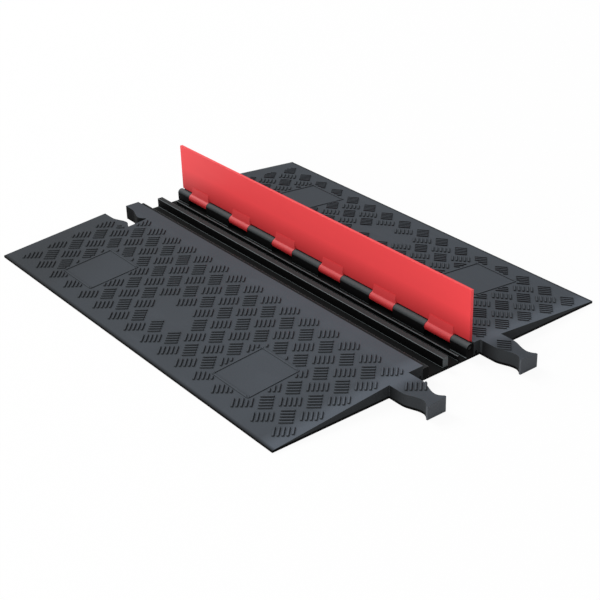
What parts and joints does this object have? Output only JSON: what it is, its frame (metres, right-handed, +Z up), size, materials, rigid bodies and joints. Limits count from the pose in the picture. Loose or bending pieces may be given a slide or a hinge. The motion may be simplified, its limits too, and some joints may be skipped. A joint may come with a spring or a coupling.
{
  "type": "cable protector ramp",
  "caption": "Low rubber cable protector: two tread ramps hook onto a two-channel tray, a hinged lid covers the channels, and fishtail connectors join units end to end.",
  "frame": {"origin": "on the ground under the middle of the tray, halfway between the ends of the ramps", "axes": "+X along the cables towards the end with the fishtail connectors, +Y across the ramps from the lid's free edge to its hinge, +Z up"},
  "size_m": [1.0035, 0.748, 0.1315],
  "materials": {
    "ramp_rubber": "matt moulded rubber",
    "tray_rubber": "matt moulded rubber",
    "lid_plastic": "satin moulded plastic",
    "rod_steel": "drawn bar",
    "plug_plastic": "matt black"
  },
  "bodies": {
    "base": {"front_ramp": "ramp_rubber", "rear_ramp": "ramp_rubber", "channel_tray": "tray_rubber", "hinge_rod": "rod_steel", "rod_plug_right": "plug_plastic", "rod_plug_left": "plug_plastic"},
    "lid": {"lid": "lid_plastic"}
  },
  "joints": [
    {"name": "lid_hinge", "type": "hinge", "parent": "base", "child": "lid", "pos_m": [0, 0.06, 0.0213], "axis": [1, 0, 0], "range_deg": [0, 90]}
  ]
}
